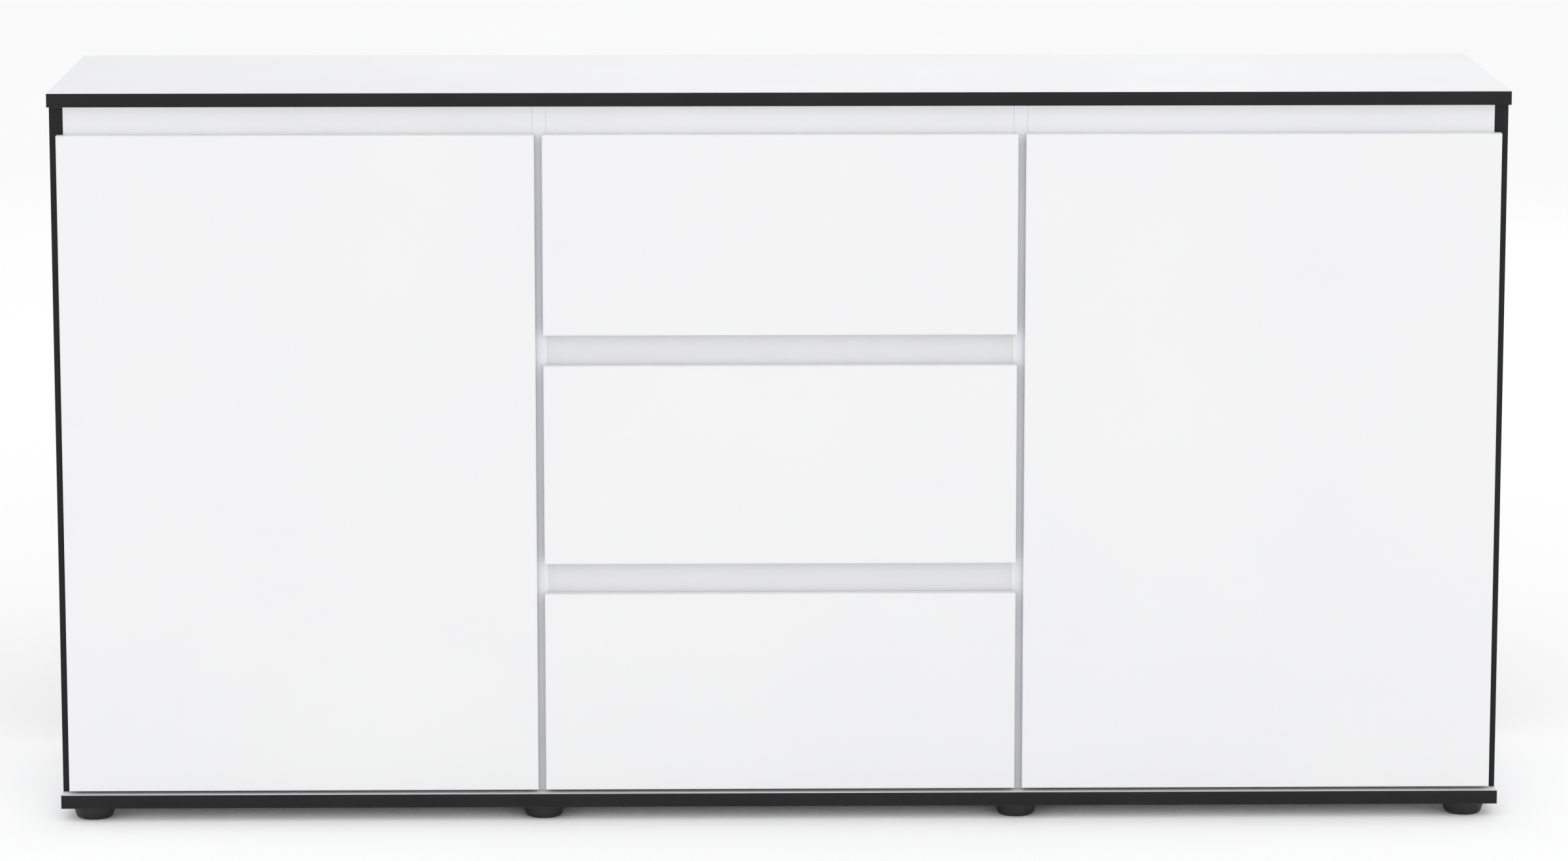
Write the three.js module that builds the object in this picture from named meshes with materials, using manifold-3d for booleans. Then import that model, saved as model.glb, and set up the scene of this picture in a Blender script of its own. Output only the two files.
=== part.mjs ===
// A white sideboard with two doors, three drawers and handle-less grip recesses.
// Millimetres, +Z up. The origin is on the floor at the centre of the footprint, and the doors face -Y.

import * as THREE from 'three';
import { mergeVertices } from 'three/addons/utils/BufferGeometryUtils.js';
import Module from 'manifold-3d';

const wasm = await Module();
wasm.setup();

// Overall size
const WIDTH = 1600;
const DEPTH = 400;
const HEIGHT = 815;

// Boards
const BOARD = 15;
const FRONT = 15;
const DRAWER_BOARD = 12;
const THIN_BOARD = 3;
const SEAM = 0.3; // between two pieces that touch

// How solids are made
const ROUND = 24; // sides of a small round piece
const CUP_ROUND = 32; // sides of a hinge cup and its bore
const ARC_STEPS = 3;
const SINK = 0.2; // how far joined solids reach into each other
const PAST = 1; // how far a cutting solid runs past the face that it cuts

// Cabinet
const OVERHANG = 0.5; // top and base, past the outside of each side
const SETBACK = 20; // front edges of sides, partitions and rails, behind the edge of the top
const BACK_INSET = 2; // back panel, inside the outline of the cabinet at each end
const SHELF_SETBACK = 25; // shelf, behind the front edges of the partitions
const SHELF_PLAY = 1;

// Fronts
const REVEAL = 8.5; // beside every door and drawer front
const FRONT_PLAY = 1.5; // between a closed front and the cabinet behind it
const FRONT_LIFT = 4; // above the base
const TOP_GRIP = 32; // finger gap between the fronts and the top
const DRAWER_GRIP = 34.3; // finger gap between two drawer fronts
const RAIL_LAP = 8; // how far a rail reaches behind a front

// Feet
const FOOT_HEIGHT = 16;
const FOOT_SOLE_RADIUS = 16;
const FOOT_ROUNDING = 5;
const FOOT_LEAN = THREE.MathUtils.degToRad(19); // of its wall, outwards from the floor up
const FOOT_INSET = 34; // centre, from the end of the base
const FOOT_EDGE = 32; // centre, from the front and back edges of the base

// Drawer boxes
const RUNNER_SPACE = 12.5; // between drawer box and partition, on each side
const RUNNER_SHORTFALL = 50; // the runner is this much shorter than the cabinet is deep
const BOX_LIFT = 24; // underside of the box, above the underside of its front
const BOX_DROP = 48; // top of the box, below the top of its front
const GROOVE_DEPTH = 5;
const GROOVE_LIFT = 10;

// Runners, in sheet steel with a roller at the front of the cabinet half and at the back of the drawer half
const STEEL = 1;
const ROLLER_RADIUS = 8.2;
const ROLLER_WIDTH = 6.5;
const ROLLER_INSET = 12; // centre of a roller, from the end of its runner
const ROLLER_PIN_RADIUS = 2.5;
const RUNNER_FRONT_PLAY = 2;
const CHANNEL_HEIGHT = 19.2;
const CHANNEL_FLOOR = 9.9;
const CHANNEL_ROOF = 7;
const CHANNEL_DROP = 4; // underside of the channel, below the drawer box
const TRACK_LIFT = 17; // underside of the drawer's track, above the underside of the box
const TRACK_START = 3.5; // edge of the track, from the partition

// Cup hinges
const HINGE_END = 95; // centre of a hinge, from the end of the door
const CUP_BORE_RADIUS = 17.5;
const CUP_DEPTH = 11;
const CUP_WALL = 1;
const CUP_MARGIN = 4; // between the bore and the edge of the door
const WING_HALF_LENGTH = 27;
const WING_HALF_WIDTH = 8;
const WING = 1.2;
const TAB_HALF_WIDTH = 4;
const ARM_HALF_WIDTH = 6.5;
const ARM_CHEEK = 2;
const ARM_HEIGHT = 11.5;
const ARM_WEB = 1.5;
const ARM_LEAD = 11; // from the link's pin to the start of the arm's web
const ARM_TAIL = 22; // from the middle of the mounting plate to the end of the arm
const NOSE_RADIUS = 2.2;
const NOSE_SINK = 2.25; // the link's pin, below the back of the closed door
const NOSE_CLEAR = 0.4;
const PIN_RADIUS = 1.5;
const PIN_PLAY = 0.06;
const PLATE = 1.5;
const PLATE_HALF_LENGTH = 23;
const PLATE_HALF_WIDTH = 9;
const PLATE_SETBACK = 37; // middle of the mounting plate, behind the front edge of the side
const LINK = 1.6;
const LINK_RISE = 4.7; // underside of the link's bridge, above its pin
const LINK_DROP = 6; // end of the link, below its pin
const LINK_CLEAR = 0.5;

// Worked out from the sizes above
const FRONT_Y = -DEPTH / 2;
const BACK_Y = DEPTH / 2;
const CARCASS_Y = FRONT_Y + SETBACK;
const FACE_Y = CARCASS_Y - FRONT_PLAY - FRONT;
const FACE_BACK_Y = FACE_Y + FRONT;
const BASE_TOP = FOOT_HEIGHT + BOARD;
const TOP_UNDERSIDE = HEIGHT - BOARD;
const SIDE_X = WIDTH / 2 - OVERHANG;
const BAY = (2 * SIDE_X - 4 * BOARD) / 3;
const PARTITION_X = (BAY + BOARD) / 2;
const BAY_PITCH = BAY + BOARD;
const FACE_WIDTH = (2 * SIDE_X - 4 * REVEAL) / 3;
const FACE_BOTTOM = BASE_TOP + FRONT_LIFT;
const FACE_TOP = TOP_UNDERSIDE - TOP_GRIP;
const DOOR_HEIGHT = FACE_TOP - FACE_BOTTOM;
const DRAWER_HEIGHT = (DOOR_HEIGHT - 2 * DRAWER_GRIP) / 3;
const RUNNER_LENGTH = DEPTH - RUNNER_SHORTFALL;
const BOX_HALF_WIDTH = BAY / 2 - RUNNER_SPACE;
const BOX_TOP = DRAWER_HEIGHT - BOX_DROP;
const HANDS = [['left', -1], ['right', 1]];
const BAYS = ['left', 'centre', 'right'];
const LEVELS = ['lower', 'middle', 'upper'];

// Materials
function finish(color, roughness, metalness) {
  return new THREE.MeshStandardMaterial({ color, roughness, metalness });
}

const whiteMelamine = finish('#eff0f2', 0.45, 0);
const whiteLacquer = finish('#f3f3f4', 0.35, 0);
const whiteRail = finish('#e9eaed', 0.45, 0);
const drawerFoil = finish('#dfe0e0', 0.6, 0);
const backFoil = finish('#e6e6e4', 0.7, 0);
const blackPlastic = finish('#2a2a2b', 0.5, 0);
const whiteSteel = finish('#e4e5e6', 0.4, 0.1);
const nickelSteel = finish('#b9bbbd', 0.3, 0.9);

// Geometry helpers
function closedSolid(geometry) {
  const bare = geometry.clone();
  bare.deleteAttribute('normal');
  bare.deleteAttribute('uv');
  const merged = mergeVertices(bare);
  const index = merged.index.array;
  const corners = [];
  for (let i = 0; i < index.length; i += 3) {
    const [a, b, c] = [index[i], index[i + 1], index[i + 2]];
    if (a !== b && b !== c && c !== a) corners.push(a, b, c);
  }
  return new wasm.Manifold(new wasm.Mesh({
    numProp: 3,
    vertProperties: new Float32Array(merged.attributes.position.array),
    triVerts: new Uint32Array(corners),
  }));
}

function meshGeometry(solid) {
  const { vertProperties, triVerts } = solid.getMesh();
  const geometry = new THREE.BufferGeometry();
  geometry.setAttribute('position', new THREE.BufferAttribute(new Float32Array(vertProperties), 3));
  geometry.setIndex(new THREE.BufferAttribute(new Uint32Array(triVerts), 1));
  geometry.computeVertexNormals();
  return geometry;
}

function blockSolid(low, high) {
  const size = high.map((value, i) => value - low[i]);
  const centre = high.map((value, i) => (value + low[i]) / 2);
  return closedSolid(new THREE.BoxGeometry(...size).translate(...centre));
}

function rodSolid(radius, from, to, axis, segments = ROUND) {
  const rod = new THREE.CylinderGeometry(radius, radius, to - from, segments);
  rod.translate(0, (from + to) / 2, 0);
  if (axis === 'x') rod.rotateZ(-Math.PI / 2);
  if (axis === 'z') rod.rotateX(Math.PI / 2);
  return closedSolid(rod);
}

function plateSolid(points, halfWidth) {
  const shape = new THREE.Shape(points.map(([x, y]) => new THREE.Vector2(x, y)));
  const plate = new THREE.ExtrudeGeometry(shape, { depth: 2 * halfWidth, bevelEnabled: false });
  return closedSolid(plate.translate(0, 0, -halfWidth));
}

function profileSolid(points, from, to) {
  const shape = new THREE.Shape(points.map(([x, z]) => new THREE.Vector2(x, z)));
  const profile = new THREE.ExtrudeGeometry(shape, { depth: to - from, bevelEnabled: false });
  return closedSolid(profile.rotateX(Math.PI / 2).translate(0, to, 0));
}

function place(parent, name, geometry, material, position = [0, 0, 0]) {
  const mesh = new THREE.Mesh(geometry, material);
  mesh.name = name;
  mesh.position.set(...position);
  parent.add(mesh);
}

function board(parent, name, low, high, material) {
  const size = high.map((value, i) => value - low[i]);
  const centre = high.map((value, i) => (value + low[i]) / 2);
  place(parent, name, new THREE.BoxGeometry(...size), material, centre);
}

// The span between two distances from the middle, on the left (hand -1) or on the right (hand 1)
function span(hand, a, b) {
  return [hand * a, hand * b].sort((low, high) => low - high);
}

function groupAt(parent, position) {
  const group = new THREE.Group();
  group.position.set(...position);
  parent.add(group);
  return group;
}

// Cabinet
function addShell(cabinet) {
  const low = BASE_TOP + SEAM;
  const high = TOP_UNDERSIDE - SEAM;
  const wallBack = BACK_Y - THIN_BOARD - SEAM;
  const end = WIDTH / 2;
  board(cabinet, 'top_panel', [-end, FRONT_Y, TOP_UNDERSIDE], [end, BACK_Y, HEIGHT], whiteMelamine);
  board(cabinet, 'base_panel', [-end, FRONT_Y, FOOT_HEIGHT], [end, BACK_Y, BASE_TOP], whiteMelamine);
  for (const [side, hand] of HANDS) {
    const [sideLow, sideHigh] = span(hand, SIDE_X - BOARD, SIDE_X);
    board(cabinet, `side_${side}`, [sideLow, CARCASS_Y, low], [sideHigh, wallBack, high], whiteMelamine);
    const [wallLow, wallHigh] = span(hand, PARTITION_X - BOARD / 2, PARTITION_X + BOARD / 2);
    board(cabinet, `partition_${side}`, [wallLow, CARCASS_Y, low], [wallHigh, wallBack, high], whiteMelamine);
  }
  const seams = [BACK_INSET - SIDE_X, -PARTITION_X, PARTITION_X, SIDE_X - BACK_INSET];
  BAYS.forEach((bay, i) => {
    board(cabinet, `back_panel_${bay}`, [seams[i] + SEAM / 2, BACK_Y - THIN_BOARD, low],
      [seams[i + 1] - SEAM / 2, BACK_Y, high], backFoil);
  });
}

function addRail(cabinet, name, bay, low, high) {
  const middle = bay * BAY_PITCH;
  const reach = BAY / 2 - SEAM;
  const [front, back] = [CARCASS_Y, CARCASS_Y + BOARD];
  board(cabinet, name, [middle - reach, front, low], [middle + reach, back, high], whiteRail);
}

function addRails(cabinet) {
  BAYS.forEach((bay, i) => {
    addRail(cabinet, `top_rail_${bay}`, i - 1, FACE_TOP - RAIL_LAP, TOP_UNDERSIDE - SEAM);
  });
  ['lower', 'upper'].forEach((name, i) => {
    const gapLow = FACE_BOTTOM + (i + 1) * DRAWER_HEIGHT + i * DRAWER_GRIP;
    addRail(cabinet, `drawer_rail_${name}`, 0, gapLow - RAIL_LAP, gapLow + DRAWER_GRIP + RAIL_LAP);
  });
}

function addShelves(cabinet) {
  const low = (BASE_TOP + TOP_UNDERSIDE - BOARD) / 2;
  const reach = BAY / 2 - SHELF_PLAY;
  for (const [side, hand] of HANDS) {
    const middle = hand * BAY_PITCH;
    board(cabinet, `shelf_${side}`, [middle - reach, CARCASS_Y + SHELF_SETBACK, low],
      [middle + reach, BACK_Y - THIN_BOARD - SHELF_PLAY, low + BOARD], whiteMelamine);
  }
}

function footGeometry() {
  const profile = new THREE.Path();
  const top = FOOT_HEIGHT - SEAM;
  const wallX = FOOT_SOLE_RADIUS + FOOT_ROUNDING * Math.cos(FOOT_LEAN);
  const wallZ = FOOT_ROUNDING - FOOT_ROUNDING * Math.sin(FOOT_LEAN);
  profile.moveTo(0, 0);
  profile.lineTo(FOOT_SOLE_RADIUS, 0);
  profile.absarc(FOOT_SOLE_RADIUS, FOOT_ROUNDING, FOOT_ROUNDING, -Math.PI / 2, -FOOT_LEAN, false);
  profile.lineTo(wallX + (top - wallZ) * Math.tan(FOOT_LEAN), top);
  profile.lineTo(0, top);
  return new THREE.LatheGeometry(profile.getPoints(ARC_STEPS), ROUND).rotateX(Math.PI / 2);
}

function addFeet(cabinet) {
  const geometry = footGeometry();
  const outer = WIDTH / 2 - FOOT_INSET;
  const columns = [['left', -outer], ['centre_left', -PARTITION_X],
    ['centre_right', PARTITION_X], ['right', outer]];
  const rows = [['front', FRONT_Y + FOOT_EDGE], ['rear', BACK_Y - FOOT_EDGE]];
  for (const [row, y] of rows) {
    for (const [column, x] of columns) {
      place(cabinet, `foot_${row}_${column}`, geometry, blackPlastic, [x, y, 0]);
    }
  }
}

// Runners: x is measured from the wall towards the drawer, z from the underside of the drawer box
function cabinetRunner(hand) {
  const low = -CHANNEL_DROP;
  const high = low + CHANNEL_HEIGHT;
  const channel = profileSolid([
    [SEAM, low], [SEAM + CHANNEL_FLOOR, low], [SEAM + CHANNEL_FLOOR, low + STEEL],
    [SEAM + STEEL, low + STEEL], [SEAM + STEEL, high - STEEL],
    [SEAM + CHANNEL_ROOF, high - STEEL], [SEAM + CHANNEL_ROOF, high], [SEAM, high],
  ].map(([x, z]) => [x * hand, z]), 0, RUNNER_LENGTH);
  const rollerTop = TRACK_LIFT - SEAM;
  const cut = blockSolid([-RUNNER_SPACE, -PAST, high - 2 * STEEL],
    [RUNNER_SPACE, 2 * ROLLER_INSET, high + PAST]);
  const rollerEnds = span(hand, SEAM + STEEL - SINK, SEAM + 2 * STEEL + ROLLER_WIDTH);
  const roller = rodSolid(ROLLER_RADIUS, ...rollerEnds, 'x')
    .translate([0, ROLLER_INSET, rollerTop - ROLLER_RADIUS]);
  return meshGeometry(channel.subtract(cut).add(roller));
}

function drawerRunner(hand) {
  const web = RUNNER_SPACE - SEAM - STEEL;
  const inner = RUNNER_SPACE + SINK;
  const track = profileSolid([
    [TRACK_START, TRACK_LIFT], [web, TRACK_LIFT], [web, -STEEL], [RUNNER_SPACE + DRAWER_BOARD, -STEEL],
    [RUNNER_SPACE + DRAWER_BOARD, SINK], [inner, SINK], [inner, TRACK_LIFT + STEEL],
    [TRACK_START, TRACK_LIFT + STEEL],
  ].map(([x, z]) => [x * hand, z]), SEAM, RUNNER_LENGTH);
  const rollerLow = STEEL - CHANNEL_DROP + SEAM;
  const outer = SEAM + 2 * STEEL;
  const seat = [0, RUNNER_LENGTH - ROLLER_INSET, rollerLow + ROLLER_RADIUS];
  const roller = rodSolid(ROLLER_RADIUS, ...span(hand, outer, outer + ROLLER_WIDTH), 'x');
  const pin = rodSolid(ROLLER_PIN_RADIUS, ...span(hand, outer + ROLLER_WIDTH - SINK, web + SINK), 'x');
  return track.add(roller.add(pin).translate(seat));
}

function addCabinetRunners(cabinet, level, faceLow) {
  for (const [side, hand] of HANDS) {
    const seat = [hand * BAY / 2, CARCASS_Y + RUNNER_FRONT_PLAY, faceLow + BOX_LIFT];
    place(cabinet, `runner_${level}_${side}`, cabinetRunner(-hand), whiteSteel, seat);
  }
}

// Drawers: the origin is at the middle of the back of the front, at its lower edge
function grooveSolid() {
  const half = BOX_HALF_WIDTH - DRAWER_BOARD + GROOVE_DEPTH;
  const low = BOX_LIFT + GROOVE_LIFT - SEAM;
  return blockSolid([-half, -GROOVE_DEPTH, low], [half, RUNNER_LENGTH + PAST, low + THIN_BOARD + 2 * SEAM]);
}

function drawerFront(groove) {
  const face = blockSolid([-FACE_WIDTH / 2, -FRONT, 0], [FACE_WIDTH / 2, 0, DRAWER_HEIGHT]);
  return meshGeometry(face.subtract(groove));
}

function drawerSide(hand, groove) {
  const [low, high] = span(hand, BOX_HALF_WIDTH - DRAWER_BOARD, BOX_HALF_WIDTH);
  const wall = blockSolid([low, SEAM, BOX_LIFT], [high, RUNNER_LENGTH, BOX_TOP]);
  const runner = drawerRunner(-hand).translate([hand * BAY / 2, 0, BOX_LIFT]);
  return meshGeometry(wall.subtract(groove).add(runner));
}

function addDrawer(sideboard, level, faceLow) {
  const drawer = groupAt(sideboard, [0, FACE_BACK_Y, faceLow]);
  const groove = grooveSolid();
  place(drawer, `drawer_${level}_front`, drawerFront(groove), whiteLacquer);
  for (const [side, hand] of HANDS) {
    place(drawer, `drawer_${level}_side_${side}`, drawerSide(hand, groove), drawerFoil);
  }
  const inside = BOX_HALF_WIDTH - DRAWER_BOARD;
  const floorLow = BOX_LIFT + GROOVE_LIFT;
  const floorHigh = floorLow + THIN_BOARD;
  const floorHalf = inside + GROOVE_DEPTH - SEAM;
  board(drawer, `drawer_${level}_bottom`, [-floorHalf, SEAM - GROOVE_DEPTH, floorLow],
    [floorHalf, RUNNER_LENGTH, floorHigh], drawerFoil);
  board(drawer, `drawer_${level}_back`, [SEAM - inside, RUNNER_LENGTH - DRAWER_BOARD, floorHigh + SEAM],
    [inside - SEAM, RUNNER_LENGTH, BOX_TOP], drawerFoil);
}

// Hinges: x runs from the edge of the closed door inwards, y from the face of the door into the cabinet,
// and z from the middle of the hinge. The door turns about the corner at x = 0, y = 0.
const CUP_X = CUP_MARGIN + CUP_BORE_RADIUS;
const CUP_RADIUS = CUP_BORE_RADIUS - SEAM;
const CUP_INSIDE = CUP_RADIUS - CUP_WALL;
const SIDE_FACE = BOARD - REVEAL;
const PLATE_TOP = SIDE_FACE + SEAM + PLATE;
const PLATE_Y = FRONT + FRONT_PLAY + PLATE_SETBACK;
const CUP_REACH = Math.sqrt(CUP_INSIDE ** 2 - ARM_HALF_WIDTH ** 2);
const NOSE_ORBIT = Math.hypot(CUP_X - CUP_REACH, FRONT) + NOSE_RADIUS + NOSE_CLEAR;
const NOSE_Y = FRONT - NOSE_SINK;
const NOSE_X = Math.sqrt(NOSE_ORBIT ** 2 - NOSE_Y ** 2);
const LINK_HALF_WIDTH = ARM_HALF_WIDTH - ARM_CHEEK - SEAM;

function hingeCup(hand) {
  const floor = FRONT - CUP_DEPTH;
  const profile = [[0, floor], [CUP_RADIUS, floor], [CUP_RADIUS, FRONT], [CUP_INSIDE, FRONT],
    [CUP_INSIDE, floor + CUP_WALL], [0, floor + CUP_WALL]].map(([x, y]) => new THREE.Vector2(x, y));
  let cup = closedSolid(new THREE.LatheGeometry(profile, CUP_ROUND));
  const under = FRONT + SEAM;
  const tabIn = CUP_INSIDE - CUP_WALL;
  const tabOut = CUP_RADIUS - CUP_WALL / 2;
  for (const end of [-1, 1]) {
    const [tabLow, tabHigh] = span(end, tabIn, tabOut);
    const [wingLow, wingHigh] = span(end, tabIn, WING_HALF_LENGTH);
    const over = under + WING;
    cup = cup.add(blockSolid([-TAB_HALF_WIDTH, FRONT - WING, tabLow], [TAB_HALF_WIDTH, over, tabHigh]));
    cup = cup.add(blockSolid([-WING_HALF_WIDTH, under, wingLow], [WING_HALF_WIDTH, over, wingHigh]));
  }
  return meshGeometry(cup.translate([hand * CUP_X, 0, 0]));
}

function hingeArm(hand) {
  const top = PLATE_TOP + ARM_HEIGHT;
  const tail = PLATE_Y + ARM_TAIL;
  const foot = PLATE_TOP - SINK;
  const outline = [[NOSE_X + NOSE_RADIUS, NOSE_Y], [NOSE_X + NOSE_RADIUS + ARM_WEB, NOSE_Y + ARM_LEAD / 2],
    [top, NOSE_Y + ARM_LEAD], [top, tail], [foot, tail], [foot, FRONT + ARM_LEAD / 2],
    [NOSE_X - NOSE_RADIUS, NOSE_Y]].map(([x, y]) => [hand * x, y]);
  const nose = [hand * NOSE_X, NOSE_Y, 0];
  const cheek = ARM_HALF_WIDTH - ARM_CHEEK;
  const [slotLow, slotHigh] = span(hand, foot - PAST, top - ARM_WEB);
  const [mouthLow, mouthHigh] = span(hand, foot - PAST, top + PAST);
  const [plateLow, plateHigh] = span(hand, SIDE_FACE + SEAM, PLATE_TOP);
  const body = plateSolid(outline, ARM_HALF_WIDTH);
  const knuckle = rodSolid(NOSE_RADIUS, -ARM_HALF_WIDTH, ARM_HALF_WIDTH, 'z').translate(nose);
  const slot = blockSolid([slotLow, 0, -cheek], [slotHigh, tail + PAST, cheek]);
  const mouth = blockSolid([mouthLow, 0, -cheek], [mouthHigh, NOSE_Y + ARM_LEAD, cheek]);
  const eyeEnd = ARM_HALF_WIDTH + PAST;
  const eye = rodSolid(PIN_RADIUS + PIN_PLAY, -eyeEnd, eyeEnd, 'z').translate(nose);
  const plate = blockSolid([plateLow, PLATE_Y - PLATE_HALF_WIDTH, -PLATE_HALF_LENGTH],
    [plateHigh, PLATE_Y + PLATE_HALF_WIDTH, PLATE_HALF_LENGTH]);
  return meshGeometry(body.add(knuckle).subtract(slot).subtract(mouth).subtract(eye).add(plate));
}

function hingeLink(hand) {
  const cupSide = Math.sqrt(CUP_INSIDE ** 2 - LINK_HALF_WIDTH ** 2);
  const far = CUP_X + cupSide - LINK_CLEAR - NOSE_X;
  const near = far - LINK;
  const rise = LINK_RISE + LINK;
  const outline = [[-PIN_RADIUS, PIN_RADIUS], [PIN_RADIUS / 2, rise], [far, rise], [far, -LINK_DROP],
    [near, -LINK_DROP], [near, LINK_RISE], [PIN_RADIUS + LINK / 2, LINK_RISE], [PIN_RADIUS, 0]];
  const link = plateSolid(outline.map(([x, y]) => [hand * x, y]), LINK_HALF_WIDTH)
    .add(rodSolid(NOSE_RADIUS, -LINK_HALF_WIDTH, LINK_HALF_WIDTH, 'z'))
    .add(rodSolid(PIN_RADIUS, -ARM_HALF_WIDTH, ARM_HALF_WIDTH, 'z'));
  return meshGeometry(link);
}

// Doors: the origin is at the lower outer corner of the face
const HINGES = [['lower', HINGE_END], ['upper', DOOR_HEIGHT - HINGE_END]];

function doorGeometry(inward) {
  const [low, high] = span(inward, 0, FACE_WIDTH);
  let door = blockSolid([low, 0, 0], [high, FRONT, DOOR_HEIGHT]);
  for (const [, z] of HINGES) {
    const bore = rodSolid(CUP_BORE_RADIUS, FRONT - CUP_DEPTH - SEAM, FRONT + PAST, 'y', CUP_ROUND);
    door = door.subtract(bore.translate([inward * CUP_X, 0, z]));
  }
  return meshGeometry(door);
}

function addDoor(sideboard, side, hand) {
  const inward = -hand;
  const door = groupAt(sideboard, [hand * (SIDE_X - REVEAL), FACE_Y, FACE_BOTTOM]);
  place(door, `door_${side}`, doorGeometry(inward), whiteLacquer);
  for (const [end, z] of HINGES) {
    place(door, `hinge_cup_${side}_${end}`, hingeCup(inward), nickelSteel, [0, 0, z]);
    place(door, `hinge_arm_${side}_${end}`, hingeArm(inward), nickelSteel, [0, 0, z]);
    place(door, `hinge_link_${side}_${end}`, hingeLink(inward), nickelSteel, [inward * NOSE_X, NOSE_Y, z]);
  }
}

const sideboard = new THREE.Group();
addShell(sideboard);
addRails(sideboard);
addShelves(sideboard);
addFeet(sideboard);
LEVELS.forEach((level, i) => {
  const faceLow = FACE_BOTTOM + i * (DRAWER_HEIGHT + DRAWER_GRIP);
  addCabinetRunners(sideboard, level, faceLow);
  addDrawer(sideboard, level, faceLow);
});
for (const [side, hand] of HANDS) addDoor(sideboard, side, hand);

export default sideboard;
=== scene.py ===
"""A white sideboard with black board edges: its boards, edge bands, fittings and finishes."""

import math

import bmesh
import bpy
from mathutils import Matrix, Vector


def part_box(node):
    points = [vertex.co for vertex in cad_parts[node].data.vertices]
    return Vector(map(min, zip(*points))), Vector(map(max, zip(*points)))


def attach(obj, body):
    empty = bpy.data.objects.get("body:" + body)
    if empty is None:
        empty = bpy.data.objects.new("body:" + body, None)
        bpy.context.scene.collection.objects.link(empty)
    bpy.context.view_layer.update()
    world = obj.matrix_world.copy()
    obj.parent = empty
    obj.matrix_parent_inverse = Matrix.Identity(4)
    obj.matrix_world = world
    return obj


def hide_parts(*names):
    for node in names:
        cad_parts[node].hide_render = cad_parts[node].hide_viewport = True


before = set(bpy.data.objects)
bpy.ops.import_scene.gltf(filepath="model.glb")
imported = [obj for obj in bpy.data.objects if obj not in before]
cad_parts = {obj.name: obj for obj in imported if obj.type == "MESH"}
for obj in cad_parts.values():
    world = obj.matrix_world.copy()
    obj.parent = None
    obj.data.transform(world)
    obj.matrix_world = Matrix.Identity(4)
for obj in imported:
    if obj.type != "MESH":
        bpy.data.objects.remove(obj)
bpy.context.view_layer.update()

MM = 0.001
HANDS = (("left", -1), ("right", 1))
LEVELS = ("lower", "middle", "upper")
BAYS = ("left", "centre", "right")
ENDS = ("lower", "upper")

# Faces that meet below this angle, in degrees, are shaded as one: on formed parts, and on turned parts
FORMED = 35
TURNED = 40

# Boards and their edges. Rails press into their neighbours, so that the joint is a hairline.
BLACK_BAND = 0.3 * MM
WHITE_BAND = 0.5 * MM
FRONT_BAND = 1.0 * MM
BAND_EASING = 0.8
CORE_ROUNDING = 0.12 * MM
THIN_ROUNDING = 0.2 * MM
RAIL_PRESS = 0.22 * MM
SEAM = 0.3 * MM
TOUCH = 0.01 * MM
GROOVE_DEPTH = 5 * MM
BUMPER_INSET = 5 * MM
DOOR_BUMPER_INSET = 30 * MM

# Holes and fittings in the end compartments
PIN_HOLE_RADIUS = 2.6 * MM
PIN_HOLE_DEPTH = 10 * MM
PIN_PITCH = 32 * MM
PIN_HOLES_EACH_WAY = 5
PIN_ROW_INSET = 37 * MM
PIN_REACH = 9 * MM
PIN_PLAY = 0.1 * MM
PIN_COLLAR = 1.2 * MM
CAP_RADIUS = 8.5 * MM
CAP_INSET = 34 * MM
CAP_FROM_EDGE = 60 * MM

# Drawers. A cam's head is a screw head, widened and flattened.
DRAWER_WALL = 12 * MM
CAM_FROM_FRONT = 34 * MM
CAM_SHAPE = Matrix.Diagonal((2.0, 2.0, 0.3, 1.0))
JOINT_SHARES = (0.4, 0.8)

# Runners: the cabinet half is a channel, and the drawer half a track above the drawer's lower edge
RUNNER_STEEL = 1 * MM
RUNNER_SPACE = 12.5 * MM
RUNNER_BEND = 1.2 * MM
TRACK_BEND = 1.1 * MM
CHANNEL_HEIGHT = 19.2 * MM
CHANNEL_WIDTH = 9.9 * MM
CHANNEL_LIP = 1.8 * MM
CHANNEL_ROOF = 7 * MM
NOSE_WIDTH = 9.6 * MM
TRACK_LIFT = 17 * MM
ROLLER_INSET = 12 * MM
ROLLER_RADIUS = 8.2 * MM
ROLLER_WIDTH = 6 * MM
WHEEL_WIDTH = 6.4 * MM
ROLLER_PIN_RADIUS = 2.3 * MM
ROLLER_DROP = 2.7 * MM
SLOT_HALF_LENGTH = 5 * MM
SLOT_HEIGHT = 4 * MM
CHANNEL_SLOT_DROP = 12 * MM
CHANNEL_SCREW_DROP = 6 * MM
CHANNEL_SCREW_SHARES = (0.08, 0.42, 0.9)
TRACK_SLOT_LIFT = 6 * MM
TRACK_SCREW_SHARES = (0.12, 0.5, 0.88)

# Hinges
CUP_RADIUS = 17.2 * MM
CUP_WALL = 1 * MM
CUP_DEPTH = 11 * MM
CUP_BORE_RADIUS = 17.5 * MM
WING_THICKNESS = 1.2 * MM
WING_HALF_WIDTH = 8 * MM
WING_CORNER = 3 * MM
WING_SCREW_REACH = 22 * MM
ARM_PLATE_TO_TAIL = 22 * MM
ARM_PLATE_INSET = 1.5 * MM
ARM_SCREW_REACH = 16 * MM
ARM_SCREW_INSETS = (8 * MM, 26 * MM)
HINGE_ROUNDING = 0.3 * MM

# Feet
FOOT_LEAN = 19
WAIST_SHARE = 0.86
FOOT_RECESS = 5 * MM
FOOT_RECESS_RADIUS = 4.2 * MM
SOLE_ROUNDING = 5 * MM
SOLE_DROP = 3.4 * MM

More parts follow.
